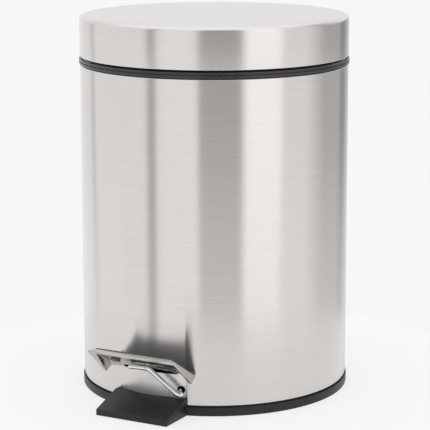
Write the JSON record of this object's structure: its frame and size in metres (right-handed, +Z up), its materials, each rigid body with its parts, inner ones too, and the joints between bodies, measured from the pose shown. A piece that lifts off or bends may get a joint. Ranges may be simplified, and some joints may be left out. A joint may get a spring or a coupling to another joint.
{
  "type": "pedal trash can",
  "caption": "Round brushed steel pedal bin with a hinged lid, black plastic base and rim, folded chrome pedal, wire linkage and lift-out bucket.",
  "frame": {"origin": "middle of the round base's flat underside, on the floor and on the can's axis", "axes": "+Z up along the can's axis, -Y towards the pedal, +Y towards the lid's hinge, +X to the right seen from the pedal"},
  "size_m": [0.2014, 0.2342, 0.2796],
  "materials": {
    "brushed_steel": "brushed round the can",
    "bright_steel": "bright drawn",
    "chrome": "polished plating",
    "black_plastic": "satin moulded",
    "bucket_plastic": "fine matt moulded",
    "rubber": "matt"
  },
  "bodies": {
    "bin_body": {"base_pan": "black_plastic", "body_shell": "brushed_steel", "linkage_cover": "bright_steel", "collar_ring": "black_plastic", "bucket": "bucket_plastic", "hinge_bracket": "black_plastic", "hinge_pin": "bright_steel", "hinge_pin_cap": "bright_steel", "rod_guide": "black_plastic", "guide_rivet": "bright_steel", "front_bearing_strap": "bright_steel", "rear_bearing_strap": "bright_steel", "bracket_screw_1": "bright_steel", "bracket_screw_2": "bright_steel", "front_bearing_screw_1": "bright_steel", "front_bearing_screw_2": "bright_steel", "rear_bearing_screw_1": "bright_steel", "rear_bearing_screw_2": "bright_steel", "foot_pad_1": "rubber", "foot_pad_2": "rubber", "foot_pad_3": "rubber", "foot_pad_4": "rubber", "rim_bumper_1": "rubber", "rim_bumper_2": "rubber", "rim_bumper_3": "rubber", "rim_bumper_4": "rubber"},
    "lid": {"lid_shell": "brushed_steel", "lid_liner": "black_plastic", "hinge_leaf": "bright_steel", "leaf_rivet_1": "bright_steel", "leaf_rivet_2": "bright_steel"},
    "pedal": {"pedal_plate": "chrome", "pedal_pad": "rubber"},
    "crank": {"wire_crank": "chrome"},
    "rod": {"lift_rod": "bright_steel"},
    "bail": {"bucket_handle": "bright_steel", "bucket_handle_grip": "bucket_plastic"}
  },
  "joints": [
    {"name": "lid_hinge", "type": "hinge", "parent": "bin_body", "child": "lid", "pos_m": [0, 0.1045, 0.25], "axis": [-1, 0, 0], "range_deg": [0, 67]},
    {"name": "pedal_hinge", "type": "hinge", "parent": "bin_body", "child": "pedal", "pos_m": [0, -0.0985, 0.0318], "axis": [1, 0, 0], "range_deg": [0, 55]},
    {"name": "crank_turn", "type": "hinge", "parent": "bin_body", "child": "crank", "pos_m": [0, 0, 0.019], "axis": [0.2503, -0.9682, 0], "range_deg": [0, 22]},
    {"name": "rod_lift", "type": "slide", "parent": "bin_body", "child": "rod", "axis": [0, 0, 1], "range_m": [0, 0.01061]},
    {"name": "bail_swing", "type": "hinge", "parent": "bin_body", "child": "bail", "pos_m": [0, 0, 0.242], "axis": [1, 0, 0], "range_deg": [0, 14]}
  ],
  "couplings": [
    {"joint": "pedal_hinge", "follows": "lid_hinge", "ratio": 0.82089},
    {"joint": "crank_turn", "follows": "lid_hinge", "ratio": 0.32835},
    {"joint": "rod_lift", "follows": "lid_hinge", "m_per_rad": 0.009073}
  ]
}
